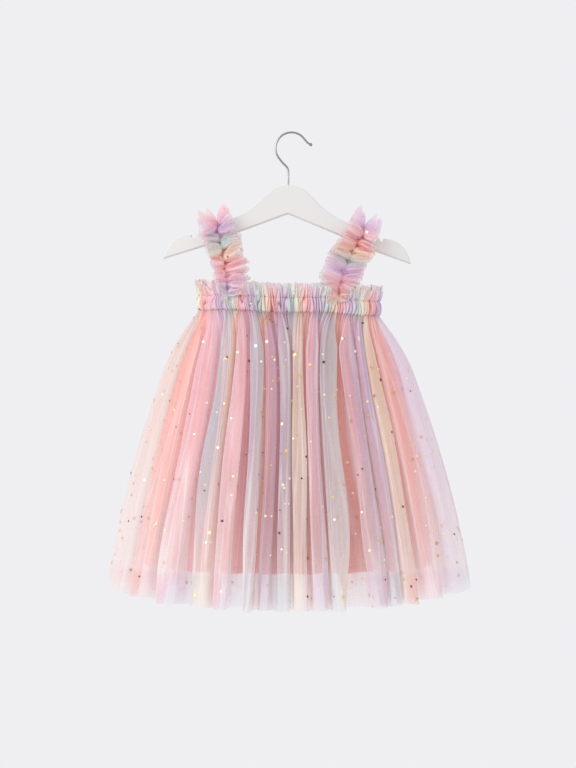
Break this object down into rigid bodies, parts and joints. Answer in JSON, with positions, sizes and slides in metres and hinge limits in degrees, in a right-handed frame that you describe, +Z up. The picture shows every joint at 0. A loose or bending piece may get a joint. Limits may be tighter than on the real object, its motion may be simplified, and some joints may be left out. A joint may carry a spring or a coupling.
{
  "type": "toddler party dress on a wooden hanger",
  "caption": "Sleeveless toddler dress of striped glitter net over a lining, with a gathered band and ruffle straps, on a flat wooden hanger.",
  "frame": {"origin": "inside top of the hanger's hook, where a rail or peg carries it", "axes": "+Z up, +X to the right seen from the front, the front of the dress faces -Y"},
  "size_m": [0.437, 0.1569, 0.5644],
  "materials": {
    "painted_wood": "off-white satin paint",
    "steel_wire": "bright drawn wire",
    "band_net": "striped net, gathered tight over elastic",
    "lining_cloth": "soft woven lining",
    "skirt_net": "sheer striped net with gold foil dots and stars",
    "strap_net": "striped net, ruffled along its middle"
  },
  "bodies": {
    "root": {"hanger_board": "painted_wood", "hanger_hook": "steel_wire", "band_front": "band_net", "band_back": "band_net", "lining_front": "lining_cloth", "lining_back": "lining_cloth", "skirt_front": "skirt_net", "skirt_back": "skirt_net", "strap_left": "strap_net", "strap_right": "strap_net"}
  },
  "joints": []
}
